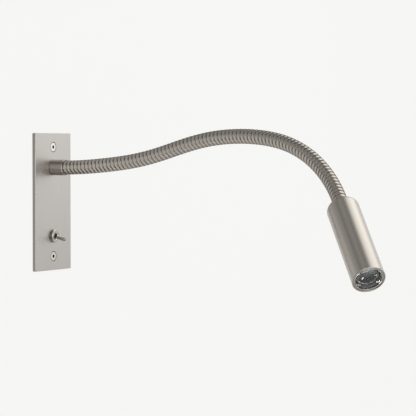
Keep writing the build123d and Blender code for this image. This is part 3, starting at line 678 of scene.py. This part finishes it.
def finish(name, **shader_inputs):
    """A new material with its shader's own sockets set."""
    material = bpy.data.materials.new(name)
    material.use_nodes = True
    for key, value in shader_inputs.items():
        shader_of(material).inputs[key.replace("_", " ")].default_value = value
    return material


def shader_of(material):
    """A material's surface shader."""
    return material.node_tree.nodes["Principled BSDF"]


def pattern_place(tree, grain, seat=None, attribute=None):
    """Pattern coordinates where one unit is one grain, grain being its size in mm along x, y, z."""
    if attribute:
        place = add(tree, "ShaderNodeAttribute", attribute_name=attribute).outputs["Vector"]
    else:
        place = add(tree, "ShaderNodeTexCoord").outputs["Object"]
    if seat:
        place = add(tree, "ShaderNodeMapping", {
            "Vector": place, "Location": seat.translation * MM, "Rotation": seat.to_euler(),
        }, vector_type="TEXTURE").outputs["Vector"]
    scale = [1 / (size * MM) for size in grain]
    return add(tree, "ShaderNodeMapping", {"Vector": place, "Scale": scale}).outputs["Vector"]


def grained(material, tints, rough, grain, relief_mm, seat=None, attribute=None):
    """Gives a finish its grain: two tints, two roughnesses and a relief that follow one noise."""
    tree, shader = material.node_tree, shader_of(material)
    amount = add(tree, "ShaderNodeTexNoise", {
        "Vector": pattern_place(tree, grain, seat, attribute),
        "Scale": 1.0, "Detail": 3.0, "Roughness": 0.6,
    }).outputs["Fac"]
    tint = add(tree, "ShaderNodeMix", {
        "Factor": amount, "A": paint(tints[0]), "B": paint(tints[1]),
    }, data_type="RGBA")
    tree.links.new(tint.outputs["Result"], shader.inputs["Base Color"])
    # the noise keeps mostly between 0.3 and 0.7
    spread = add(tree, "ShaderNodeMapRange", {
        "Value": amount, "From Min": 0.3, "From Max": 0.7, "To Min": rough[0], "To Max": rough[1],
    })
    tree.links.new(spread.outputs["Result"], shader.inputs["Roughness"])
    relief = add(tree, "ShaderNodeBump", {
        "Height": amount, "Strength": 1.0, "Distance": relief_mm * MM,
    })
    tree.links.new(relief.outputs["Normal"], shader.inputs["Normal"])
    return material


def paint_shade(material, amount, colour):
    """Mixes a darker colour into a finish as painted shade, as much as the amount says at each
    point.
    """
    tree = material.node_tree
    base = shader_of(material).inputs["Base Color"]
    tint = add(tree, "ShaderNodeMix", {
        "Factor": amount, "A": base.links[0].from_socket, "B": paint(colour),
    }, data_type="RGBA")
    tree.links.new(tint.outputs["Result"], base)


def off_axis(tree, place, centre, across):
    """Each point's distance from a centre in mm, along the axes where across is 1."""
    aside = add(tree, "ShaderNodeVectorMath", {
        0: place, 1: Vector(centre) * MM,
    }, operation="SUBTRACT").outputs["Vector"]
    flat = add(tree, "ShaderNodeVectorMath", {
        0: aside, 1: across,
    }, operation="MULTIPLY").outputs["Vector"]
    return add(tree, "ShaderNodeVectorMath", {0: flat}, operation="LENGTH").outputs["Value"]


def plate_face_finish():
    """The plate's finish, with painted shade in the screws' countersinks and on the sides."""
    # satin nickel on steel, brushed up and down: a soft wide sheen with faint upright lines
    # (real lines are about 0.05 mm apart; drawn 1 mm wide so that they show)
    material = grained(
        finish("satin_nickel_brushed_upright", Metallic=1.0), ("#afaba6", "#c4c0bb"),
        (0.38, 0.46), (1.0, 1.0, 40), 0.002,
    )
    tree = material.node_tree
    place = add(tree, "ShaderNodeTexCoord").outputs["Object"]
    depth = add(tree, "ShaderNodeSeparateXYZ", {"Vector": place}).outputs["Y"]
    # both screws at once, since the plate is the same above and below its middle
    folded = add(tree, "ShaderNodeVectorMath", {0: place}, operation="ABSOLUTE").outputs["Vector"]
    aside = add(tree, "ShaderNodeSeparateXYZ", {"Vector": folded}).outputs["X"]
    near = add(tree, "ShaderNodeMath", {
        0: off_axis(tree, folded, (0, 0, SCREW_HEIGHT), (1, 0, 1)), 1: (SCREW_SEAT + 0.3) * MM,
    }, operation="LESS_THAN").outputs["Value"]
    # painted shade darkens the seats under the face, fading in from 0.03 to 0.1 mm deep
    deep = add(tree, "ShaderNodeMapRange", {
        "Value": depth, "From Min": (0.03 - PLATE_FACE) * MM, "From Max": (0.1 - PLATE_FACE) * MM,
    }).outputs["Result"]
    seat = add(tree, "ShaderNodeMath", {0: near, 1: deep}, operation="MULTIPLY").outputs["Value"]
    paint_shade(material, seat, "#24221f")
    # painted shade darkens the sawn sides, from half a millimetre inside the edge
    edge = PLATE[0] / 2
    side = add(tree, "ShaderNodeMapRange", {
        "Value": aside, "From Min": (edge - 0.5) * MM, "From Max": (edge - 0.05) * MM,
        "To Min": 0.0, "To Max": 0.5,
    }).outputs["Result"]
    paint_shade(material, side, "#55514b")
    return material


def knurl_finish():
    """The dress nut's finish, with painted shade in the knurl's notches."""
    # satin nickel on brass, turned and knurled: bright crests that glint one by one
    material = grained(
        finish("satin_nickel_knurled", Metallic=1.0), ("#b5b1aa", "#c3bfb8"), (0.2, 0.3),
        (0.8, 0.4, 0.8), 0.002,
    )
    tree = material.node_tree
    place = add(tree, "ShaderNodeTexCoord").outputs["Object"]
    depth = add(tree, "ShaderNodeSeparateXYZ", {"Vector": place}).outputs["Y"]
    radius = off_axis(tree, place, (0, 0, SWITCH_HEIGHT), (1, 0, 1))
    # the notches lie between these radii, and half a millimetre below the nut's face
    outside = add(tree, "ShaderNodeMath", {
        0: radius, 1: 5.2 * MM,
    }, operation="GREATER_THAN").outputs["Value"]
    inside = add(tree, "ShaderNodeMath", {
        0: radius, 1: 5.4 * MM,
    }, operation="LESS_THAN").outputs["Value"]
    below = add(tree, "ShaderNodeMath", {
        0: depth, 1: (0.5 - PLATE_FACE - NUT_HEIGHT) * MM,
    }, operation="GREATER_THAN").outputs["Value"]
    ring = add(tree, "ShaderNodeMath", {
        0: outside, 1: inside,
    }, operation="MULTIPLY").outputs["Value"]
    notch_shade = add(tree, "ShaderNodeMath", {0: ring, 1: below}, operation="MULTIPLY").outputs["Value"]
    # painted shade in the knurl's notches
    paint_shade(material, notch_shade, "#2e2b27")
    return material


def screw_face_finish():
    """The plate screws' finish, with painted shade, partly black oxide, in the socket and under the
    head.
    """
    # steel, turned bright: almost white, with a fine even grain
    material = grained(
        finish("bright_steel_turned", Metallic=1.0), ("#cbc9c4", "#d8d6d2"), (0.22, 0.34),
        (0.5, 0.5, 0.5), 0.003,
    )
    tree = material.node_tree
    place = add(tree, "ShaderNodeTexCoord").outputs["Object"]
    depth = add(tree, "ShaderNodeSeparateXYZ", {"Vector": place}).outputs["Y"]
    # the painted shade and oxide fade in just under the head's face
    oxide_and_shade = add(tree, "ShaderNodeMapRange", {
        "Value": depth, "From Min": (0.1 - PLATE_FACE) * MM, "From Max": (0.3 - PLATE_FACE) * MM,
    }).outputs["Result"]
    paint_shade(material, oxide_and_shade, "#24221f")
    return material


def winding_finish():
    """The neck's finish, with painted shade in the grooves."""
    # satin nickel on wound steel: bright crests with a tight shine, grooves darkened by painted
    # shade
    material = grained(
        finish("satin_nickel_winding", Metallic=1.0, Specular_Tint=paint("#a09c96")),
        ("#a6a098", "#b2aca4"), (0.13, 0.19), (1.6, 1.6, 1.0), 0.002, attribute="straight",
    )
    tree = material.node_tree
    place = add(tree, "ShaderNodeAttribute", attribute_name="straight").outputs["Vector"]
    # painted shade, darker deeper in the grooves, in full at 5.5 mm from the axis
    groove_shade = add(tree, "ShaderNodeMapRange", {
        "Value": off_axis(tree, place, (0, 0, 0), (1, 1, 0)),
        "From Min": 5.85 * MM, "From Max": 5.5 * MM,
    }).outputs["Result"]
    paint_shade(material, groove_shade, "#3e3a34")
    return material


def cup_face_finish():
    """The cup's finish, in shadow towards its throat."""
    # aluminium plated onto a moulded cup in a vacuum: mirror bright in each facet
    material = grained(
        finish("vacuum_plated_cup", Metallic=1.0), ("#b0b2b1", "#bcbebd"), (0.03, 0.04),
        (3, 3, 3), 0.0001, HEAD_FRAME,
    )
    tree = material.node_tree
    place = pattern_place(tree, (1, 1, 1), HEAD_FRAME)
    depth = add(tree, "ShaderNodeSeparateXYZ", {"Vector": place}).outputs["Z"]
    # millimetres along the head: full shadow at the second number
    shadow = add(tree, "ShaderNodeMapRange", {
        "Value": depth, "From Min": 74.0, "From Max": 70.5,
    }).outputs["Result"]
    paint_shade(material, shadow, "#303231")
    return material


def green_yellow_sleeve():
    """The earth wire's finish."""
    # PVC sleeve, extruded in two colours: green with a yellow stripe, under a satin shine
    material = finish("green_yellow_wire_sleeve", Roughness=0.36)
    tree = material.node_tree
    place = add(tree, "ShaderNodeTexCoord").outputs["Object"]
    # the wire runs 8 mm beside the middle line; the stripe is 0.9 mm wide
    away = off_axis(tree, place, (8, 0, 0), (1, 0, 0))
    stripe = add(tree, "ShaderNodeMath", {
        0: away, 1: 0.45 * MM,
    }, operation="LESS_THAN").outputs["Value"]
    tint = add(tree, "ShaderNodeMix", {
        "Factor": stripe, "A": paint("#1f7a35"), "B": paint("#d9cf3a"),
    }, data_type="RGBA")
    tree.links.new(tint.outputs["Result"], shader_of(material).inputs["Base Color"])
    return material


def even(name, tints, rough, grain_mm, relief_mm, **shader_inputs):
    """A moulded, cast or coated surface with an even grain."""
    return grained(finish(name, **shader_inputs), tints, rough, (grain_mm,) * 3, relief_mm)


def metal(name, tints, rough, grain_mm, relief_mm):
    """A metal surface with an even grain."""
    return even(name, tints, rough, grain_mm, relief_mm, Metallic=1.0)


# real lathe rings are about 0.1 mm apart; on the head, collar and lens ring they are drawn
# 0.4 to 0.8 mm apart so that they show
# satin nickel on a turned tube: fine rings round the axis, so the light runs down it in bands
head_finish = grained(
    finish("satin_nickel_turned_head", Metallic=1.0), ("#a9a39b", "#aea8a0"), (0.25, 0.29),
    (40, 40, 0.8), 0.0002, HEAD_FRAME,
)
# satin nickel on turned brass: rings round the collar and a darker, tighter shine
collar_finish = grained(
    finish("satin_nickel_turned_collar", Metallic=1.0), ("#979089", "#9f9a93"), (0.2, 0.28),
    (20, 0.8, 20), 0.001,
)
# satin nickel on a turned steel bat, drawn along its length: a thin streak of light
lever_finish = grained(
    finish("satin_nickel_bat", Metallic=1.0), ("#8f8a82", "#9b968e"), (0.18, 0.26),
    (0.6, 2.0, 0.6), 0.002,
)
# bright nickel on a finely turned ring: sharp glints round the lens
ring_finish = grained(
    finish("nickel_ring_fine_turned", Metallic=1.0), ("#bab6af", "#c4c0b9"), (0.1, 0.16),
    (8, 8, 0.4), 0.001, HEAD_FRAME,
)
# acrylic, moulded clear and polished: sharp reflections, a faint cool tint in its depth
lens_finish = finish(
    "clear_acrylic_polished", Transmission_Weight=1.0, IOR=1.49, Roughness=0.02,
    Base_Color=paint("#f2f6f4"),
)
# steel sheet, folded and zinc plated: a cold grey sheen in soft patches
zinc = metal("zinc_plated_sheet_steel", ("#a9adb1", "#bec1c4"), (0.32, 0.5), 2.5, 0.006)
# steel, turned and zinc plated: small warm grey parts with tight glints
hardware = metal("zinc_plated_hardware", ("#a6a5a2", "#bbb9b5"), (0.25, 0.4), 0.8, 0.004)
# brass, turned: yellow metal with fine dull streaks
brass = metal("turned_brass", ("#b08d4c", "#c7a668"), (0.22, 0.36), 0.6, 0.003)
# copper strip, stamped and tinned: pale, with a soft-edged shine
tinned = metal("tinned_copper_tag", ("#bfc0bd", "#d2d3d0"), (0.25, 0.4), 0.5, 0.004)
# aluminium, machined: light silver with a fine satin
aluminium = metal("machined_aluminium", ("#c3c5c8", "#d5d6d8"), (0.22, 0.36), 0.5, 0.004)
# rubber, moulded: near black, so matt that it hardly shines
rubber = even("black_rubber", ("#161616", "#222221"), (0.6, 0.78), 0.6, 0.02)
# foam tape, cut from a sheet: dark grey open pores, fully matt
foam = even("grey_foam_tape", ("#2c2c2c", "#3d3d3c"), (0.85, 0.95), 0.5, 0.08)
# polycarbonate, moulded in an etched mould: off-white with a soft sheen
case_plastic = even("driver_case_polycarbonate", ("#dcdbd5", "#e4e3de"), (0.42, 0.56), 0.4, 0.008)
# nylon, moulded: milky white and a little glossier
block_plastic = even("terminal_block_nylon", ("#e6e5df", "#eeede8"), (0.3, 0.42), 0.5, 0.005)
# phenolic resin, pressed hot: black with a low even gloss
switch_plastic = even("black_phenolic", ("#0e0e10", "#18181b"), (0.25, 0.38), 0.5, 0.005)
# PVC sheath, extruded: black with a satin line of light along it
lead_sheath = even("black_lead_sheath", ("#111111", "#1a1a1a"), (0.45, 0.6), 0.6, 0.01)
# PVC sleeves of single wires, extruded: clean colours under a satin shine
brown_sleeve = even("brown_wire_sleeve", ("#4b2818", "#59301d"), (0.32, 0.42), 0.5, 0.004)
black_sleeve = even("black_wire_sleeve", ("#121212", "#1c1c1c"), (0.32, 0.42), 0.5, 0.004)
blue_sleeve = even("blue_wire_sleeve", ("#14418f", "#1a4da3"), (0.32, 0.42), 0.5, 0.004)
white_sleeve = even("white_wire_sleeve", ("#dddddb", "#e8e8e6"), (0.32, 0.42), 0.5, 0.004)
# silicone pad, cast in a sheet: mid grey, soft and matt
grey_pad = even("thermal_pad_silicone", ("#77797b", "#868889"), (0.6, 0.75), 0.4, 0.01)
# solder mask, printed on the board and cured: even white with a slight gloss
solder_mask = even("white_solder_mask", ("#e4e5e2", "#ededea"), (0.3, 0.4), 0.4, 0.003)
# silicone with phosphor in it, dropped on the emitter and unlit: dull yellow
phosphor = even("yellow_phosphor_dome", ("#a89f5c", "#b5ac6a"), (0.3, 0.42), 0.3, 0.003)

FINISHES = {
    "plate_nickel": plate_face_finish(), "screw_steel": screw_face_finish(),
    "collar_nickel": collar_finish, "dress_nickel": knurl_finish(), "lever_nickel": lever_finish,
    "neck_steel": winding_finish(), "head_nickel": head_finish, "ring_chrome": ring_finish,
    "reflector_bright": cup_face_finish(), "lens_clear": lens_finish,
    "box_zinc": zinc, "zinc_hardware": hardware, "switch_chrome": hardware,
    "brass_hardware": brass, "brass_screws": brass, "tinned_tags": tinned,
    "sink_aluminium": aluminium, "grommet_rubber": rubber, "foam_pad": foam,
    "driver_plastic": case_plastic, "terminal_plastic": block_plastic,
    "switch_plastic": switch_plastic, "lead_black": lead_sheath, "wire_brown": brown_sleeve,
    "wire_black": black_sleeve, "wire_blue": blue_sleeve, "wire_white": white_sleeve,
    "wire_green": green_yellow_sleeve(), "thermal_grey": grey_pad,
    "board_white": solder_mask, "led_phosphor": phosphor,
}


def dress(piece, slot):
    """Gives a piece the finish of its slot."""
    piece.data.materials.clear()
    piece.data.materials.append(FINISHES[slot])


for part in frame["record"]["subparts"]:
    dress(frame["nodes"][part["node"]], part["material_slot"])
for piece in bpy.data.objects:
    if "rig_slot" in piece:
        dress(piece, piece["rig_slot"])


# ------------------------------------------------------------------ wall, floor, world and lamps
BACKGROUND = paint("#f6f6f5")
# how bright metal and glass see the two sheets, in metres: less light reaches the wall higher
# up, and the floor further out from the wall
WALL_HEIGHTS, WALL_LIGHT = (-0.02, 0.20), (0.99, 0.60)
FLOOR_DISTANCES, FLOOR_LIGHT = (-0.25, -0.90), (1.0, 0.38)
# the share of the camera's view that is plain background; the rest takes faint shadows
PLAIN_SHARE = 0.95


def backdrop(name, width, height, seat, one_sided):
    """A pale matt sheet that the camera sees at the background's tone, with faint shadows.

    A one-sided sheet is open from behind, so that the lamp's back can be looked at."""
    form = bmesh.new()
    size = Matrix.Diagonal((width, height, 1, 1))
    bmesh.ops.create_grid(form, x_segments=1, y_segments=1, size=0.5, matrix=size)
    sheet = make(name, form, seat=seat)
    # emulsion paint, rolled on: pale and fully matt
    material = finish(name + "_matt_paint", Roughness=0.85, Base_Color=paint("#ecebe8"))
    tree = material.node_tree
    rays = add(tree, "ShaderNodeLightPath").outputs
    mirrored = add(tree, "ShaderNodeMath", {
        0: rays["Is Glossy Ray"], 1: rays["Is Transmission Ray"],
    }, operation="MAXIMUM").outputs["Value"]
    # metal and glass see the sheet too, a little darker, as a wall that less light reaches
    place = add(tree, "ShaderNodeTexCoord").outputs["Object"]
    split = add(tree, "ShaderNodeSeparateXYZ", {"Vector": place}).outputs
    upper = add(tree, "ShaderNodeMapRange", {
        "Value": split["Z"], "From Min": WALL_HEIGHTS[0], "From Max": WALL_HEIGHTS[1],
        "To Min": WALL_LIGHT[0], "To Max": WALL_LIGHT[1],
    }, interpolation_type="SMOOTHSTEP").outputs["Result"]
    outer = add(tree, "ShaderNodeMapRange", {
        "Value": split["Y"], "From Min": FLOOR_DISTANCES[0], "From Max": FLOOR_DISTANCES[1],
        "To Min": FLOOR_LIGHT[0], "To Max": FLOOR_LIGHT[1],
    }).outputs["Result"]
    reached = add(tree, "ShaderNodeMath", {
        0: upper, 1: outer,
    }, operation="MULTIPLY").outputs["Value"]
    strength = add(tree, "ShaderNodeMix", {"Factor": mirrored, "A": 1.0, "B": reached})
    glow = add(tree, "ShaderNodeEmission", {
        "Color": BACKGROUND, "Strength": strength.outputs["Result"],
    }).outputs["Emission"]
    share = add(tree, "ShaderNodeMath", {
        0: rays["Is Camera Ray"], 1: PLAIN_SHARE, 2: mirrored,
    }, operation="MULTIPLY_ADD").outputs["Value"]
    shown = add(tree, "ShaderNodeMixShader", {
        0: share, 1: shader_of(material).outputs["BSDF"], 2: glow,
    }).outputs["Shader"]
    if one_sided:
        behind = add(tree, "ShaderNodeNewGeometry").outputs["Backfacing"]
        opening = add(tree, "ShaderNodeBsdfTransparent").outputs["BSDF"]
        shown = add(tree, "ShaderNodeMixShader", {
            0: behind, 1: shown, 2: opening,
        }).outputs["Shader"]
    tree.links.new(shown, tree.nodes["Material Output"].inputs["Surface"])
    sheet.data.materials.append(material)


# the wall stands 0.1 mm behind the plate's back, and the floor lies 0.9 m under its middle
backdrop("wall", 2000, 1200, Matrix.Translation((400, 0, 0)) @ outward(-300, 0.1), one_sided=True)
backdrop("floor", 3000, 3000, Matrix.Translation((0, -1500, -900)), one_sided=False)

ROOM_LIGHT = 0.38
# soft zones of light round the room: direction, cosines at the rim and at full strength, light
SOFT_ZONES = [
    # high on the right, like a window
    ((0.51, -0.31, 0.79), 0.82, 0.99, 1.56),
    # the right wall
    ((0.68, -0.34, -0.11), 0.63, 0.97, 0.45),
    # straight out from the lamp's wall
    ((0.10, -0.98, 0.10), 0.60, 0.95, 0.50),
    # beside the camera, a little above it
    ((-0.85, -0.46, 0.24), 0.80, 0.97, 1.25),
    # a small patch overhead
    ((-0.14, 0.33, 0.93), 0.975, 0.999, 0.18),
    # a small strong one, low in front
    ((-0.45, -0.85, -0.25), 0.93, 0.98, 3.00),
]


def studio():
    """The room's light: an even dim room with soft bright zones, pale to the camera itself."""
    world = bpy.data.worlds.new("studio")
    bpy.context.scene.world = world
    world.use_nodes = True
    tree = world.node_tree
    tree.nodes.clear()
    view = add(tree, "ShaderNodeTexCoord").outputs["Generated"]
    total = ROOM_LIGHT
    for direction, rim, full, light in SOFT_ZONES:
        toward = add(tree, "ShaderNodeVectorMath", {
            0: view, 1: Vector(direction).normalized(),
        }, operation="DOT_PRODUCT").outputs["Value"]
        zone = add(tree, "ShaderNodeMapRange", {
            "Value": toward, "From Min": rim, "From Max": full, "To Min": 0.0, "To Max": light,
        }, interpolation_type="SMOOTHSTEP").outputs["Result"]
        total = add(tree, "ShaderNodeMath", {
            0: total, 1: zone,
        }, operation="ADD").outputs["Value"]
    room = add(tree, "ShaderNodeBackground", {"Color": paint("#ffffff"), "Strength": total})
    pale = add(tree, "ShaderNodeBackground", {"Color": BACKGROUND, "Strength": 1.0})
    seen_by_camera = add(tree, "ShaderNodeLightPath").outputs["Is Camera Ray"]
    both = add(tree, "ShaderNodeMixShader", {
        0: seen_by_camera, 1: room.outputs["Background"], 2: pale.outputs["Background"],
    })
    add(tree, "ShaderNodeOutputWorld", {"Surface": both.outputs["Shader"]})


def lamp(name, place, aim, size, power):
    """A soft white lamp with an oblong face, unseen by the camera."""
    light = bpy.data.lights.new(name, "AREA")
    light.shape = "RECTANGLE"
    light.size, light.size_y = size
    light.energy = power
    holder = bpy.data.objects.new(name, light)
    bpy.context.scene.collection.objects.link(holder)
    holder.visible_camera = False
    holder.location = place
    holder.rotation_euler = (Vector(aim) - Vector(place)).to_track_quat("-Z", "Y").to_euler()


studio()
# two small lamps under the head and in front of it; a large one lights the right side
HEAD_MIDDLE = (-0.09, -0.335, -0.05)
lamp("low_fill", (-0.24, -0.395, -0.41), HEAD_MIDDLE, (0.06, 0.09), 0.2)
lamp("front_fill", (-0.01, -0.62, -0.31), HEAD_MIDDLE, (0.05, 0.05), 0.06)
lamp("side_softbox", (0.40, -0.33, 0.21), (0, 0, 0.02), (0.45, 0.5), 0.32)
